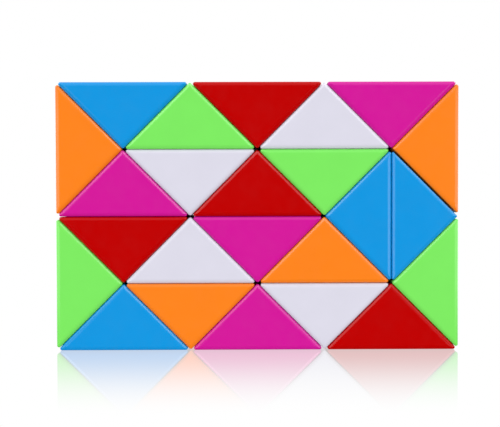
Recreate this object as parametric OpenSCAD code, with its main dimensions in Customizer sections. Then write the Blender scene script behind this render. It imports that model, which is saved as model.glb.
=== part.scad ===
// Twisty snake puzzle: 24 hollow wedges in one chain, folded into a flat 6 by 4 block.
// Each wedge is half of a square prism. Neighbours share a square side, and a sprung
// screw pivot through the middle of that side lets one turn on the other.
// The block stands on its long edge: X is its length, Y its depth, Z its height,
// and the origin is the middle of its underside.

/* [Chain] */
// Length of the square side that two neighbours share
leg = 20.5; // [19:0.5:26]
// Clear gap between two neighbouring faces
face_gap = 0.1; // [0.1:0.05:0.3]

/* [Wedge shell] */
// Wall thickness of the moulded shell
wall = 1.5; // [1.3:0.1:1.6]
// Bevel along the edges of both triangular ends
edge_bevel = 0.45; // [0.2:0.05:0.45]
// Radius of the two sharp tips
tip_r = 0.5; // [0.5:0.05:0.8]
// Radius of the square corner
corner_r = 0.6; // [0.5:0.05:0.8]

/* [Snap-in cover] */
// Thickness of the cover over the long side
cover_t = 1.4; // [1.2:0.1:1.4]
// Gap all round the cover in its seat
cover_fit = 0.1; // [0.08:0.01:0.15]
// Width of the ledge that the cover lands on
ledge = 0.5; // [0.4:0.05:0.6]

/* [Pivot] */
// Outside diameter of the bush that a wedge turns on
bush_d = 4.2; // [4:0.1:4.4]
// Radial running clearance between the bush and its bore
bush_fit = 0.05; // [0.03:0.01:0.08]
// Thread diameter of the pivot screw
screw_d = 2; // [1.8:0.1:2.2]
// Diameter of the screw's pan head
head_d = 3.8; // [3.6:0.1:3.9]
// Height of the screw's pan head
head_h = 1.1; // [1:0.05:1.1]
// Diameter of the washer under the head
washer_d = 5.8; // [5.6:0.1:5.8]
// Thickness of the washer
washer_t = 0.4; // [0.3:0.05:0.4]
// Wire thickness of the spring
wire_d = 0.5; // [0.4:0.05:0.55]
// Room for the compressed spring between the wall and the washer
spring_h = 2.2; // [2:0.1:2.2]
// Diameter of the raised collar round each pivot
collar_d = 9; // [8:0.5:11]

/* [Hidden] */
count = 24;
$fn = 64;

// Half of the long side: the step of the grid that the folded block lies on
u = leg / sqrt(2);
inset = face_gap / 2;
depth = leg - face_gap;
// Quarter turns at each pivot, in order from wedge 1, that fold the straight chain into the block
fold = [0, 2, 0, 0, 0, 0, 2, 2, 0, 0, 0, 2, 2, 0, 0, 0, 2, 2, 0, 0, 0, 0, 2];
// Steps in each rounded corner of the outline
tip_steps = 6;
corner_steps = 3;

// Heights along a pivot's axis, from the middle of the gap into the wedge that holds the spring
axial_slack = 0.05;
// Hairline between two separate pieces that are pressed together
joint_line = 0.02;
collar_top = inset - axial_slack;
mid_wall = inset + wall / 2;
seat = inset + wall;
washer_z = seat + spring_h;
head_z = washer_z + washer_t;
spring_slack = 0.1;
bush_bore = bush_d / 2 + bush_fit;
// Boss and blind pilot hole inside the wedge that the screw is driven into
boss_r = 2.2;
boss_depth = inset + wall + 3.2;
pilot_depth = boss_depth - 0.4;
screw_depth = pilot_depth - 0.3;
thread_fit = 0.02;
recess_l = 2.4;
recess_w = 0.5;
recess_h = 0.6;
coils = 4;

// Half sizes of the cover: it ends just inside the tips and the two end walls
cavity_y = depth / 2 - wall;
cavity_x = u - sqrt(2) * (inset + wall) - (inset + cover_t);
cover_x = cavity_x + ledge;
cover_y = cavity_y + ledge;
tongue_l = 6;
tongue_t = 0.9;
tongue_h = 2;
tongue_fit = 0.15;
over = 1;

blue = [0.10, 0.60, 0.90];
green = [0.51, 0.94, 0.40];
red = [0.75, 0.02, 0.01];
white = [0.87, 0.86, 0.91];
magenta = [0.85, 0.11, 0.62];
orange = [1.00, 0.53, 0.13];
colours = [blue, green, red, white, magenta, orange];

function two(k) = k < 10 ? str("0", k) : str(k);
function wedge_name(k) = str("wedge_", two(k));
function pivot_name(k) = str("pivot_", two(k));

// ---- Where each wedge lies ----

// Turn by q quarter turns about the axis of a wedge's outgoing pivot
function quarter_turn(q) =
    let (c = cos(90 * q), s = sin(90 * q) / sqrt(2), a = (1 + c) / 2, b = (1 - c) / 2)
    [[a, -s, b, 0], [s, c, -s, 0], [b, s, a, 0], [0, 0, 0, 1]];

function shift(x, z) = [[1, 0, 0, x], [0, 1, 0, 0], [0, 0, 1, z], [0, 0, 0, 1]];

// The next wedge of a straight chain lies upside down beside this one
half_roll = [[1, 0, 0, u / 2], [0, -1, 0, 0], [0, 0, -1, u / 2], [0, 0, 0, 1]];

// The first wedge is at the right-hand end of the block with its square corner outwards
first_place = [[0, 0, 1, 2 * u], [0, 1, 0, 0], [-1, 0, 0, 2 * u - inset], [0, 0, 0, 1]];

function place(k) = k == 1 ? first_place
    : place(k - 1) * shift(u / 2, u / 2) * quarter_turn(fold[k - 2]) * half_roll;

// ---- The wedge ----
// A wedge's own frame has its long side along X at z = 0 and its square corner up.
// Its incoming side faces left and up, its outgoing side right and up.

function arc(x, z, r, from, to, steps) =
    [for (i = [0:steps]) let (t = from + (to - from) * i / steps) [x + r * cos(t), z + r * sin(t)]];

// Outline moved in from the grid by e, with the corner centres kept in place
function outline(e) =
    let (tip = inset + tip_r, tip_x = u - (1 + sqrt(2)) * tip, top = inset + corner_r)
    concat(arc(tip_x, tip, tip - e, -90, 45, tip_steps),
        arc(0, u - sqrt(2) * top, top - e, 45, 135, corner_steps),
        arc(-tip_x, tip, tip - e, 135, 270, tip_steps));

module across(length) {
    rotate([90, 0, 0]) linear_extrude(length, center = true) children();
}

// Carries a pivot part to the middle of a side, with +Z out of the wedge
module incoming_side() {
    translate([-u / 2, 0, u / 2]) rotate([0, -45, 0]) children();
}

module outgoing_side() {
    translate([u / 2, 0, u / 2]) rotate([0, 45, 0]) children();
}

module solid_wedge() {
    hull() {
        across(depth - 2 * edge_bevel) polygon(outline(inset));
        across(depth) polygon(outline(inset + edge_bevel));
    }
}

// Hollow inside, open through the long side, with its walls parallel to the outside
module cavity() {
    peak = u - sqrt(2) * (inset + wall);
    floor_x = peak - inset - cover_t;
    side_top = peak - floor_x;
    across(2 * cavity_y)
        polygon([[-floor_x, 0], [floor_x, 0], [floor_x, side_top], [0, peak], [-floor_x, side_top]]);
}

module cover_seat() {
    translate([-cover_x, -cover_y, inset - over]) cube([2 * cover_x, 2 * cover_y, cover_t + over]);
}

module cover() {
    x = cover_x - cover_fit;
    y = cover_y - cover_fit;
    tongue_y = cavity_y - tongue_fit - tongue_t / 2;
    translate([-x, -y, inset]) cube([2 * x, 2 * y, cover_t - joint_line]);
    for (side = [-1, 1])
        translate([-tongue_l / 2, side * tongue_y - tongue_t / 2, inset + cover_t / 2])
            cube([tongue_l, tongue_t, cover_t / 2 + tongue_h]);
}

module shell(k) {
    difference() {
        union() {
            difference() {
                solid_wedge();
                cavity();
                cover_seat();
            }
            if (k > 1) incoming_side() {
                translate([0, 0, -mid_wall]) cylinder(d = collar_d, h = mid_wall + collar_top);
                translate([0, 0, -boss_depth]) cylinder(r = boss_r, h = boss_depth - mid_wall);
            }
        }
        if (k > 1) incoming_side()
            translate([0, 0, -pilot_depth]) cylinder(d = screw_d, h = pilot_depth + over);
        if (k < count) outgoing_side()
            translate([0, 0, -seat - over]) cylinder(r = bush_bore, h = seat + 2 * over);
    }
}

module wedge(k) {
    color(colours[(k - 1) % len(colours)]) multmatrix(place(k)) {
        shell(k);
        cover();
    }
}

// ---- The pivot between wedge k and wedge k + 1 ----
// It is fixed to wedge k + 1, and reaches through the bore of wedge k.

module bush() {
    difference() {
        translate([0, 0, collar_top + joint_line])
            cylinder(d = bush_d, h = washer_z - collar_top - 2 * joint_line);
        cylinder(d = screw_d + 2 * bush_fit, h = washer_z + over);
    }
}

module washer() {
    difference() {
        translate([0, 0, washer_z]) cylinder(d = washer_d, h = washer_t - joint_line);
        cylinder(d = screw_d + 2 * bush_fit, h = head_z + over);
    }
}

module screw() {
    difference() {
        union() {
            translate([0, 0, head_z]) cylinder(d = head_d, h = head_h);
            translate([0, 0, -screw_depth])
                cylinder(d = screw_d - 2 * thread_fit, h = screw_depth + head_z + head_h / 4);
        }
        for (turn = [0, 90])
            rotate([0, 0, turn]) translate([-recess_l / 2, -recess_w / 2, head_z + head_h - recess_h])
                cube([recess_l, recess_w, recess_h + over]);
    }
}

// Close-wound spring, drawn as a sleeve with one ridge for each coil
module spring() {
    inner = bush_d / 2 + 0.2;
    low = seat + spring_slack;
    high = washer_z - joint_line;
    pitch = (high - low) / coils;
    ridges = [for (i = [0:coils - 1]) each [
        [inner + wire_d / 2, low + i * pitch],
        [inner + wire_d, low + (i + 0.3) * pitch],
        [inner + wire_d, low + (i + 0.7) * pitch]]];
    top = [[inner + wire_d / 2, high], [inner, high]];
    rotate_extrude() polygon(concat([[inner, low]], ridges, top));
}

module pivot(k) {
    color("silver") multmatrix(place(k + 1)) incoming_side() {
        bush();
        washer();
        screw();
        spring();
    }
}

// ---- The assembly ----

for (k = [1:count]) {
    wedge(k);
}

for (k = [1:count - 1]) {
    pivot(k);
}
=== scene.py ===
"""Twisty snake puzzle folded into a flat block, on a white glossy studio floor.

The CAD wedges are hidden, and each is stood for by a finer moulded shell and its snap-in cover.
Both are built from one outline, in the wedge's own frame, and placed by the chain's fold.
The steel pivots inside are the CAD nodes themselves, with a brushed metal material.
"""

import math

import bmesh
import bpy
from mathutils import Matrix, Quaternion, Vector


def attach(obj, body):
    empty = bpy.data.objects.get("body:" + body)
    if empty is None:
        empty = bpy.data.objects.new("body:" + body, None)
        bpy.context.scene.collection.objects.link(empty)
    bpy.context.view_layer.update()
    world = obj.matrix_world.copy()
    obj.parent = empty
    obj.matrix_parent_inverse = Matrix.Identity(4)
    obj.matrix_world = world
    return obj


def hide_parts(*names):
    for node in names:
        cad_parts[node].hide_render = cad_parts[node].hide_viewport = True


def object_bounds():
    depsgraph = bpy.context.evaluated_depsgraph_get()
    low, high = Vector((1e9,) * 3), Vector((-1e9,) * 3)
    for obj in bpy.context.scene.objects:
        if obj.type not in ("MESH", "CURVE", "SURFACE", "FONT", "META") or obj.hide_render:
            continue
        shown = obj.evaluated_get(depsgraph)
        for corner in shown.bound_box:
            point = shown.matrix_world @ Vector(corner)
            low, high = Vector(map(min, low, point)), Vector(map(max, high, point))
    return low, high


MM = 0.001

# The chain, as in the CAD source. Lengths of the wedge are in millimetres.
LEG = 20.5
FACE_GAP = 0.1
U = LEG / math.sqrt(2)
INSET = FACE_GAP / 2
DEPTH = LEG - FACE_GAP
COUNT = 24
FOLD = [0, 2, 0, 0, 0, 0, 2, 2, 0, 0, 0, 2, 2, 0, 0, 0, 2, 2, 0, 0, 0, 0, 2]

# The moulded shell. Its triangular ends have a soft edge, which turns only part of the way
# from the end face to the side walls.
WALL = 1.5
TIP_R = 0.4
CORNER_R = 0.45
MIN_R = 0.04
EDGE_WIDTH = 1.0
EDGE_TURN = math.radians(60)
EDGE_STEPS = 6
TIP_STEPS = 8
CORNER_STEPS = 6
# How far the chain's two free ends stand back from the grid: no spring pulls them together
FREE_END_BACK = 0.22
# The modifier's weight of 1 to 100: at 100 the large faces decide the shading
FLAT_FACE_WEIGHT = 100

# The cover over the long side, and its seat
COVER_T = 1.4
COVER_FIT = 0.1
LEDGE = 0.5
LIP_R = 0.12
LIP_STEPS = 3
JOINT_LINE = 0.02

# The two tongues that hold the cover in the cavity
TONGUE_LENGTH = 6.0
TONGUE_THICKNESS = 0.9
TONGUE_HEIGHT = 2.0
TONGUE_FIT = 0.15
TONGUE_ROOT = 0.3
TONGUE_LEAD = 0.5
TONGUE_TAPER = 0.3

# The pivot's collar, boss and bore
COLLAR_R = 4.5
COLLAR_TOP = INSET - 0.05
COLLAR_EDGE = 0.05
BORE_R = 2.15
BORE_LEAD = 0.15
PILOT_R = 1.0
BOSS_R = 2.2
BOSS_DEPTH = INSET + WALL + 3.2
PILOT_DEPTH = BOSS_DEPTH - 0.4
ROUND_STEPS = 48

# Colour of each moulding as it looks in the light (0 to 255), and how strongly it shines
COLOURS = {
    "blue": ((17, 153, 228), 0.5),
    "green": ((127, 238, 99), 0.5),
    "red": ((192, 0, 0), 0.25),
    "white": ((223, 221, 235), 0.5),
    "magenta": ((216, 23, 157), 0.5),
    "orange": ((257, 134, 28), 0.5),
}
LIGHT_ON_FACE = 1.15

# The plastic's noises, in cells a metre: clouding in the pigment, smears in the gloss, and the
# waviness that the polished mould leaves
CLOUD_SCALE = 190
CLOUD_DARK, CLOUD_LIGHT = 0.985, 1.01
SMEAR_SCALE = 420
GLOSS_ROUGHNESS = (0.08, 0.14)
WAVE_SCALE = 900
WAVE_STRENGTH = 0.12
PLASTIC_IOR = 1.5

# The steel: its two greys, and scratches stretched along the part
STEEL_GREYS = ((0.42, 0.42, 0.43), (0.66, 0.66, 0.67))
STEEL_CLOUD_SCALE = 600
SCRATCH_SCALE = (300, 6000, 300)
SCRATCH_ROUGHNESS = (0.25, 0.45)
SCRATCH_STRENGTH = 0.25

# Noise lies mostly in this range. A busy one keeps this share of its strength from each octave
# to the next, above the usual half. Bumps are this deep, in metres.
NOISE_RANGE = (0.3, 0.7)
BUSY = 0.6
BUMP_DEPTH = 0.00002

# The studio's diffuse light from straight below and straight above
SOFT_BELOW, SOFT_ABOVE = 0.85, 1.59
# What the gloss sees: the strengths of a sky and of two boxes at each side. Each pair is a ramp
# in the direction's height (or, for BESIDE and SIDE_BOX_NEAR and _FAR, in its sideways part).
SKY = 0.7
SKY_RISE = (0.3, 0.7)
BESIDE = (0.3, 0.5)
UPPER_BOX = 3.2
UPPER_BOX_FOOT = (0.2, 0.65)
UPPER_BOX_HEAD = (0.8, 0.9)
SIDE_BOX = 2.6
SIDE_BOX_BORDER = (0.12, 0.2)
SIDE_BOX_NEAR = (0.28, 0.85)
SIDE_BOX_FAR = (0.85, 1)
SIDE_BOX_FAR_SHARE = 0.45
# The floor's reflection: its strength at the object's foot, and how far away it has faded (metres)
REFLECTION = 0.46
REFLECTION_REACH = 0.0432
FLOOR_HALF = 3
FLOOR_DROP = 0.00002

# The camera, in metres from the middle of the front, and how far it is tipped sideways
CAMERA_DISTANCE = 0.14
CAMERA_SIDE = -0.0022
CAMERA_RISE = 0.0032
CAMERA_AIM = (-0.0016, 0.0006)
CAMERA_ROLL = math.radians(-0.16)
VIEW_WIDTH = 0.10758
SENSOR = 36
CLIP_NEAR, CLIP_FAR = 0.01, 20


# ---- Where each wedge lies ----


def quarter_turn(q):
    """q quarter turns about a wedge's outgoing pivot."""
    c, s = math.cos(math.radians(90 * q)), math.sin(math.radians(90 * q)) / math.sqrt(2)
    a, b = (1 + c) / 2, (1 - c) / 2
    return Matrix(((a, -s, b, 0), (s, c, -s, 0), (b, s, a, 0), (0, 0, 0, 1)))


def places():
    """The place of every wedge in the block, wedge 1 first."""
    shift = Matrix.Translation((U / 2, 0, U / 2))
    half_roll = Matrix(((1, 0, 0, U / 2), (0, -1, 0, 0), (0, 0, -1, U / 2), (0, 0, 0, 1)))
    out = [Matrix(((0, 0, 1, 2 * U), (0, 1, 0, 0), (-1, 0, 0, 2 * U - INSET), (0, 0, 0, 1)))]
    for q in FOLD:
        out.append(out[-1] @ shift @ quarter_turn(q) @ half_roll)
    return out


# ---- The wedge's shape, in its own frame ----
# The long side lies along X at z = 0 and the square corner is up.


def arc(x, z, r, start, end, steps):
    angles = [math.radians(start + (end - start) * i / steps) for i in range(steps + 1)]
    return [(x + r * math.cos(t), z + r * math.sin(t)) for t in angles]


def outline(e):
    """The triangle's outline moved in by e, anticlockwise from the lower end of the right tip."""
    tip_r = max(TIP_R + INSET - e, MIN_R)
    corner_r = max(CORNER_R + INSET - e, MIN_R)
    tip, top = e + tip_r, e + corner_r
    tip_x = U - (1 + math.sqrt(2)) * tip
    return (
        arc(tip_x, tip, tip_r, -90, 45, TIP_STEPS)
        + arc(0, U - math.sqrt(2) * top, corner_r, 45, 135, CORNER_STEPS)
        + arc(-tip_x, tip, tip_r, 135, 270, TIP_STEPS)
    )


def end_edge():
    """The soft edge, from the side wall to the end face, as steps inward and outward."""
    r = EDGE_WIDTH / math.sin(EDGE_TURN)
    turns = [EDGE_TURN * (1 - i / EDGE_STEPS) for i in range(EDGE_STEPS + 1)]
    return [(EDGE_WIDTH - r * math.sin(t), r * (math.cos(t) - math.cos(EDGE_TURN))) for t in turns]


def lip():
    """A small rounded lip, as steps down from the face and across towards the wall."""
    turns = [math.pi / 2 * i / LIP_STEPS for i in range(LIP_STEPS + 1)]
    return [(LIP_R * (1 - math.cos(t)), LIP_R * math.sin(t)) for t in turns]


def rectangle(half_x, half_y, z):
    return [(half_x, -half_y, z), (half_x, half_y, z), (-half_x, half_y, z), (-half_x, -half_y, z)]


def circle(side, r, h):
    """A circle round a side's pivot (1 outgoing, -1 incoming), h outside the grid plane."""
    out = Vector((side, 0, 1)).normalized()
    along = Vector((1, 0, -side)).normalized() * side
    across = Vector((0, 1, 0))
    middle = Vector((side * U / 2, 0, U / 2)) + out * h
    angles = [2 * math.pi * i / ROUND_STEPS for i in range(ROUND_STEPS)]
    return [middle + along * (r * math.cos(a)) + across * (r * math.sin(a)) for a in angles]


def ring(bm, points):
    return [bm.verts.new(p) for p in points]


def sides(loop):
    return zip(loop, loop[1:] + loop[:1])


def bridge(bm, *loops):
    """Quads between each closed loop and the next. All have the same number of points."""
    for a, b in zip(loops, loops[1:]):
        for (a1, a2), (b1, b2) in zip(sides(a), sides(b)):
            bm.faces.new((a1, a2, b2, b1))


def holed_face(bm, outer, hole):
    """A flat face bounded by the loop outer, with the loop hole left open."""
    pairs = list(sides(outer)) + list(sides(hole))
    edges = [bm.edges.get(pair) or bm.edges.new(pair) for pair in pairs]
    bmesh.ops.triangle_fill(bm, use_beauty=True, use_dissolve=False, edges=edges)


def finished(bm, name):
    bmesh.ops.recalc_face_normals(bm, faces=bm.faces)
    bmesh.ops.scale(bm, vec=(MM, MM, MM), verts=bm.verts)
    for face in bm.faces:
        face.smooth = True
    mesh = bpy.data.meshes.new(name)
    bm.to_mesh(mesh)
    bm.free()
    return mesh


def outside(bm):
    """The outer skin. Its long, outgoing and incoming sides are left open: returns their corners."""
    edge = end_edge()
    wall_y = DEPTH / 2 - edge[-1][1]
    levels = [(INSET + inward, -wall_y - outward) for inward, outward in reversed(edge)]
    levels += [(INSET + inward, wall_y + outward) for inward, outward in edge]
    rings = [ring(bm, [(x, y, z) for x, z in outline(e)]) for e, y in levels]
    near = len(edge) - 1
    flats = (len(rings[0]) - 1, TIP_STEPS, TIP_STEPS + CORNER_STEPS + 1)
    openings = {}
    for level, (a, b) in enumerate(zip(rings, rings[1:])):
        for i, ((a1, a2), (b1, b2)) in enumerate(zip(sides(a), sides(b))):
            if level == near and i in flats:
                openings[i] = [a1, b1, b2, a2]
            else:
                bm.faces.new((a1, b1, b2, a2))
    bm.faces.new(rings[0])
    bm.faces.new(list(reversed(rings[-1])))
    for crisp in (rings[near], rings[near + 1]):
        for pair in sides(crisp):
            bm.edges.get(pair).smooth = False
    return [openings[i] for i in flats]


def cavity_size():
    """Half the cavity's length, half its width, and the height of its ridge."""
    ridge = U - math.sqrt(2) * (INSET + WALL)
    return ridge - INSET - COVER_T, DEPTH / 2 - WALL, ridge


def inside(bm, long_side):
    """The cover's seat and the cavity behind it: returns the corners of its two slanted walls."""
    half, width, peak = cavity_size()
    cover_x, cover_y, seat_z = half + LEDGE, width + LEDGE, INSET + COVER_T
    seat = [
        ring(bm, rectangle(cover_x + LIP_R - across, cover_y + LIP_R - across, INSET + down))
        for down, across in lip()
    ]
    holed_face(bm, long_side, seat[0])
    seat.append(ring(bm, rectangle(cover_x, cover_y, seat_z)))
    opening = ring(bm, rectangle(half, width, seat_z))
    shoulder = ring(bm, rectangle(half, width, peak - half))
    bridge(bm, *seat, opening, shoulder)
    ridge = ring(bm, [(0, -width, peak), (0, width, peak)])
    bm.faces.new((shoulder[0], shoulder[3], ridge[0]))
    bm.faces.new((shoulder[1], ridge[1], shoulder[2]))
    outgoing_wall = [shoulder[0], shoulder[1], ridge[1], ridge[0]]
    incoming_wall = [shoulder[2], shoulder[3], ridge[0], ridge[1]]
    return outgoing_wall, incoming_wall


def stand_back(bm, side):
    """Press a free side (1 outgoing, -1 incoming) back from the grid, flat."""
    out = Vector((side, 0, 1)).normalized()
    limit = U / math.sqrt(2) - FREE_END_BACK
    for vert in bm.verts:
        vert.co -= out * max(0, vert.co.dot(out) - limit)


def shell_mesh(has_incoming, has_outgoing):
    bm = bmesh.new()
    long_side, outgoing_side, incoming_side = outside(bm)
    outgoing_wall, incoming_wall = inside(bm, long_side)

    # The outgoing side has the bore that the next wedge's bush turns in
    if has_outgoing:
        mouth = ring(bm, circle(1, BORE_R + BORE_LEAD, -INSET))
        bore = ring(bm, circle(1, BORE_R, -INSET - BORE_LEAD))
        back = ring(bm, circle(1, BORE_R, -INSET - WALL))
        holed_face(bm, outgoing_side, mouth)
        bridge(bm, mouth, bore, back)
        holed_face(bm, outgoing_wall, back)
    else:
        bm.faces.new(outgoing_side)
        bm.faces.new(outgoing_wall)
        stand_back(bm, 1)

    # The incoming side has a raised collar, and a boss inside for the screw
    if has_incoming:
        foot = ring(bm, circle(-1, COLLAR_R, -INSET))
        rim = ring(bm, circle(-1, COLLAR_R, COLLAR_TOP - COLLAR_EDGE))
        top = ring(bm, circle(-1, COLLAR_R - COLLAR_EDGE, COLLAR_TOP))
        pilot = ring(bm, circle(-1, PILOT_R, COLLAR_TOP))
        blind = ring(bm, circle(-1, PILOT_R, -PILOT_DEPTH))
        holed_face(bm, incoming_side, foot)
        bridge(bm, foot, rim, top, pilot, blind)
        bm.faces.new(blind)
        root = ring(bm, circle(-1, BOSS_R, -INSET - WALL))
        end = ring(bm, circle(-1, BOSS_R, -BOSS_DEPTH))
        holed_face(bm, incoming_wall, root)
        bridge(bm, root, end)
        bm.faces.new(end)
    else:
        bm.faces.new(incoming_side)
        bm.faces.new(incoming_wall)
        stand_back(bm, -1)
    return finished(bm, "shell")


def closed_stack(bm, loops):
    """A closed body through a stack of loops."""
    bm.faces.new(loops[0])
    bridge(bm, *loops)
    bm.faces.new(loops[-1])


def cover_mesh():
    bm = bmesh.new()
    half, width, _ = cavity_size()
    x, y = half + LEDGE - COVER_FIT, width + LEDGE - COVER_FIT
    plate = [
        ring(bm, rectangle(x - LIP_R + across, y - LIP_R + across, INSET + down))
        for down, across in lip()
    ]
    plate.append(ring(bm, rectangle(x, y, INSET + COVER_T - JOINT_LINE)))
    closed_stack(bm, plate)
    # A tongue beside each end wall, with a tapered tip
    top = INSET + COVER_T + TONGUE_HEIGHT
    steps = ((INSET + COVER_T - TONGUE_ROOT, 0), (top - TONGUE_LEAD, 0), (top, TONGUE_TAPER))
    for side in (-1, 1):
        middle = side * (width - TONGUE_FIT - TONGUE_THICKNESS / 2)
        tongue = []
        for z, cut in steps:
            outer = rectangle(TONGUE_LENGTH / 2 - cut, (TONGUE_THICKNESS - cut) / 2, z)
            tongue.append(ring(bm, [(px, middle + py, pz) for px, py, pz in outer]))
        closed_stack(bm, tongue)
    return finished(bm, "cover")


# ---- Materials ----


def new_material(name):
    mat = bpy.data.materials.new(name)
    mat.use_nodes = True
    nodes, links = mat.node_tree.nodes, mat.node_tree.links
    return mat, nodes, links, nodes["Principled BSDF"]


def noise(nodes, links, coordinates, scale, detail, roughness=0.5):
    n = nodes.new("ShaderNodeTexNoise")
    n.inputs["Scale"].default_value = scale
    n.inputs["Detail"].default_value = detail
    n.inputs["Roughness"].default_value = roughness
    links.new(coordinates, n.inputs["Vector"])
    return n.outputs["Fac"]


def remap(nodes, links, value, low, high, to_low, to_high):
    n = nodes.new("ShaderNodeMapRange")
    ends = ("From Min", "From Max", "To Min", "To Max")
    for name, number in zip(ends, (low, high, to_low, to_high)):
        n.inputs[name].default_value = number
    links.new(value, n.inputs["Value"])
    return n.outputs["Result"]


def shades(nodes, links, value, dark, light):
    """A ramp between two colours, each with its position."""
    n = nodes.new("ShaderNodeValToRGB")
    for element, (position, colour) in zip(n.color_ramp.elements, (dark, light)):
        element.position = position
        element.color = (*colour, 1)
    links.new(value, n.inputs["Fac"])
    return n.outputs["Color"]


def bump(nodes, links, height, strength):
    n = nodes.new("ShaderNodeBump")
    n.inputs["Strength"].default_value = strength
    n.inputs["Distance"].default_value = BUMP_DEPTH
    links.new(height, n.inputs["Height"])
    return n.outputs["Normal"]


def linear(rgb):
    fractions = [v / 255 for v in rgb]
    return [c / 12.92 if c <= 0.04045 else ((c + 0.055) / 1.055) ** 2.4 for c in fractions]


def plastic(name, rgb, shine):
    """Glossy moulded plastic: slight clouding in the pigment, and a polished mould's waviness."""
    mat, nodes, links, shader = new_material(name)
    shader.inputs["IOR"].default_value = PLASTIC_IOR
    shader.inputs["Specular IOR Level"].default_value = shine
    where = nodes.new("ShaderNodeTexCoord").outputs["Object"]
    base = [c / LIGHT_ON_FACE for c in linear(rgb)]
    dark = [c * CLOUD_DARK for c in base]
    light = [min(1, c * CLOUD_LIGHT) for c in base]
    low, high = NOISE_RANGE
    cloud = noise(nodes, links, where, CLOUD_SCALE, detail=3)
    links.new(shades(nodes, links, cloud, (low, dark), (high, light)), shader.inputs["Base Color"])
    smear = noise(nodes, links, where, SMEAR_SCALE, detail=4, roughness=BUSY)
    links.new(remap(nodes, links, smear, low, high, *GLOSS_ROUGHNESS), shader.inputs["Roughness"])
    wave = noise(nodes, links, where, WAVE_SCALE, detail=2)
    links.new(bump(nodes, links, wave, WAVE_STRENGTH), shader.inputs["Normal"])
    return mat


def steel(name):
    """Brushed steel, with fine scratches that all run one way."""
    mat, nodes, links, shader = new_material(name)
    shader.inputs["Metallic"].default_value = 1.0
    where = nodes.new("ShaderNodeTexCoord").outputs["Object"]
    cloud = noise(nodes, links, where, STEEL_CLOUD_SCALE, detail=4, roughness=BUSY)
    dark, light = STEEL_GREYS
    tint = shades(nodes, links, cloud, (0, dark), (1, light))
    links.new(tint, shader.inputs["Base Color"])
    stretch = nodes.new("ShaderNodeMapping")
    stretch.inputs["Scale"].default_value = SCRATCH_SCALE
    links.new(where, stretch.inputs["Vector"])
    scratch = noise(nodes, links, stretch.outputs["Vector"], scale=1, detail=3)
    rough = remap(nodes, links, scratch, *NOISE_RANGE, *SCRATCH_ROUGHNESS)
    links.new(rough, shader.inputs["Roughness"])
    links.new(bump(nodes, links, scratch, SCRATCH_STRENGTH), shader.inputs["Normal"])
    return mat


# ---- The studio ----


def calculate(nodes, links, operation, a, b=None):
    n = nodes.new("ShaderNodeMath")
    n.operation = operation
    links.new(a, n.inputs[0])
    if b is not None:
        links.new(b, n.inputs[1])
    return n.outputs["Value"]


def choose(nodes, links, factor, a, b):
    n = nodes.new("ShaderNodeMix")
    links.new(factor, n.inputs["Factor"])
    links.new(a, n.inputs["A"])
    if isinstance(b, (int, float)):
        n.inputs["B"].default_value = b
    else:
        links.new(b, n.inputs["B"])
    return n.outputs["Result"]


def studio_world():
    """White surroundings. Gloss sees a sky and soft boxes at both sides, but nothing ahead."""
    world = bpy.data.worlds.new("studio")
    bpy.context.scene.world = world
    world.use_nodes = True
    nodes, links = world.node_tree.nodes, world.node_tree.links
    background = nodes["Background"]
    background.inputs["Color"].default_value = (1, 1, 1, 1)
    split = nodes.new("ShaderNodeSeparateXYZ")
    links.new(nodes.new("ShaderNodeTexCoord").outputs["Generated"], split.inputs["Vector"])
    up = split.outputs["Z"]
    slope = calculate(nodes, links, "ABSOLUTE", up)
    across = calculate(nodes, links, "ABSOLUTE", split.outputs["X"])

    soft = remap(nodes, links, up, -1, 1, SOFT_BELOW, SOFT_ABOVE)
    sky = remap(nodes, links, up, *SKY_RISE, 0, SKY)
    beside = remap(nodes, links, across, *BESIDE, 0, 1)
    upper_foot = remap(nodes, links, up, *UPPER_BOX_FOOT, 0, UPPER_BOX)
    upper_head = remap(nodes, links, up, *UPPER_BOX_HEAD, 1, 0)
    upper_band = calculate(nodes, links, "MULTIPLY", upper_foot, upper_head)
    upper_box = calculate(nodes, links, "MULTIPLY", beside, upper_band)
    level_band = remap(nodes, links, slope, *SIDE_BOX_BORDER, SIDE_BOX, 0)
    side_near = remap(nodes, links, across, *SIDE_BOX_NEAR, 0, 1)
    side_far = remap(nodes, links, across, *SIDE_BOX_FAR, 1, SIDE_BOX_FAR_SHARE)
    side_fade = calculate(nodes, links, "MULTIPLY", side_near, side_far)
    side_box = calculate(nodes, links, "MULTIPLY", level_band, side_fade)
    boxes = calculate(nodes, links, "ADD", upper_box, side_box)
    gloss = calculate(nodes, links, "ADD", sky, boxes)

    ray = nodes.new("ShaderNodeLightPath")
    light = choose(nodes, links, ray.outputs["Is Glossy Ray"], soft, gloss)
    seen, mirrored = ray.outputs["Is Camera Ray"], ray.outputs["Is Singular Ray"]
    plain = calculate(nodes, links, "MAXIMUM", seen, mirrored)
    links.new(choose(nodes, links, plain, light, 1.0), background.inputs["Strength"])


def vector_step(nodes, links, operation, value, by=None):
    n = nodes.new("ShaderNodeVectorMath")
    n.operation = operation
    links.new(value, n.inputs[0])
    if by:
        n.inputs[1].default_value = by
    return n.outputs["Value"] if operation == "LENGTH" else n.outputs["Vector"]


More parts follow.
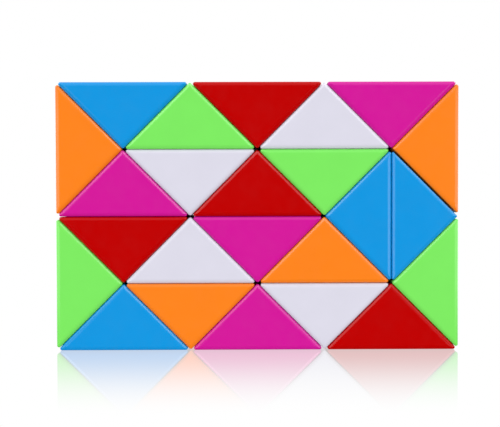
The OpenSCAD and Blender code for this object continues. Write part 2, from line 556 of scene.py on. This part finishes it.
def studio_floor(low, high):
    """A white glossy sheet whose reflection fades out away from the object's foot."""
    bm = bmesh.new()
    corners = [(-1, -1), (1, -1), (1, 1), (-1, 1)]
    bm.faces.new(ring(bm, [(x * FLOOR_HALF, y * FLOOR_HALF, 0) for x, y in corners]))
    mesh = bpy.data.meshes.new("floor")
    bm.to_mesh(mesh)
    bm.free()
    floor = bpy.data.objects.new("floor", mesh)
    bpy.context.scene.collection.objects.link(floor)
    floor.location.z = low.z - FLOOR_DROP
    floor.visible_glossy = False
    floor.visible_diffuse = False

    mat, nodes, links, shader = new_material("white_floor")
    nodes.remove(shader)
    where = nodes.new("ShaderNodeTexCoord").outputs["Object"]
    beyond = vector_step(nodes, links, "ABSOLUTE", where)
    beyond = vector_step(nodes, links, "SUBTRACT", beyond, (high.x, high.y, 1))
    beyond = vector_step(nodes, links, "MAXIMUM", beyond, (0, 0, 0))
    away = vector_step(nodes, links, "LENGTH", beyond)
    fade = remap(nodes, links, away, 0, REFLECTION_REACH, REFLECTION, 0)
    fade.node.interpolation_type = "SMOOTHSTEP"
    white = nodes.new("ShaderNodeEmission")
    mirror = nodes.new("ShaderNodeBsdfGlossy")
    mirror.inputs["Roughness"].default_value = 0.0
    mirror.inputs["Color"].default_value = (1, 1, 1, 1)
    mix = nodes.new("ShaderNodeMixShader")
    links.new(fade, mix.inputs["Fac"])
    links.new(white.outputs["Emission"], mix.inputs[1])
    links.new(mirror.outputs["BSDF"], mix.inputs[2])
    links.new(mix.outputs["Shader"], nodes["Material Output"].inputs["Surface"])
    mesh.materials.append(mat)


def studio_camera(low, high):
    """Almost square on to the front, a little left of the block's middle and above it."""
    data = bpy.data.cameras.new("camera")
    camera = bpy.data.objects.new("camera", data)
    bpy.context.scene.collection.objects.link(camera)
    data.sensor_width = SENSOR
    data.lens = SENSOR * CAMERA_DISTANCE / VIEW_WIDTH
    data.clip_start, data.clip_end = CLIP_NEAR, CLIP_FAR
    centre = Vector((0, low.y, (low.z + high.z) / 2))
    target = centre + Vector((CAMERA_AIM[0], 0, CAMERA_AIM[1]))
    camera.location = centre + Vector((CAMERA_SIDE, -CAMERA_DISTANCE, CAMERA_RISE))
    level = (target - camera.location).to_track_quat("-Z", "Y")
    camera.rotation_mode = "QUATERNION"
    camera.rotation_quaternion = level @ Quaternion((0, 0, 1), CAMERA_ROLL)
    bpy.context.scene.camera = camera


# ---- The model ----

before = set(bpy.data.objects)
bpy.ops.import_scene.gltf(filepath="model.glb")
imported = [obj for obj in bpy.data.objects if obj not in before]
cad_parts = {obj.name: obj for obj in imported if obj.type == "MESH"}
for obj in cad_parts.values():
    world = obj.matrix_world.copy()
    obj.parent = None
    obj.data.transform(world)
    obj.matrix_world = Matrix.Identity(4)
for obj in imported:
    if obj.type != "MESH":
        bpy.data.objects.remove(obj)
cad_low, cad_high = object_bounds()
bpy.context.scene.view_settings.view_transform = "Standard"

finish = {
    colour: plastic(f"{colour}_gloss", rgb, shine)
    for colour, (rgb, shine) in COLOURS.items()
}
metal = steel("pivot_steel")
shell_kinds = {
    "first": shell_mesh(False, True),
    "middle": shell_mesh(True, True),
    "last": shell_mesh(True, False),
}
cover_kind = cover_mesh()

for k, place in enumerate(places(), start=1):
    kind = "first" if k == 1 else "last" if k == COUNT else "middle"
    colour = list(COLOURS)[(k - 1) % len(COLOURS)]
    place.translation *= MM
    for name, source in (("shell", shell_kinds[kind]), ("cover", cover_kind)):
        mesh = source.copy()
        mesh.materials.append(finish[colour])
        piece = bpy.data.objects.new(f"wedge_{k:02d}_{name}", mesh)
        bpy.context.scene.collection.objects.link(piece)
        piece.matrix_world = place
        weighted = piece.modifiers.new("flat_faces", "WEIGHTED_NORMAL")
        weighted.mode = "FACE_AREA"
        weighted.weight = FLAT_FACE_WEIGHT
        weighted.keep_sharp = True
        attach(piece, f"segment_{k:02d}")
        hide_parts(f"wedge_{k:02d}")

for name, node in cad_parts.items():
    if name.startswith("pivot_"):
        node.data.materials.clear()
        node.data.materials.append(metal)

studio_world()
studio_floor(cad_low, cad_high)
studio_camera(cad_low, cad_high)
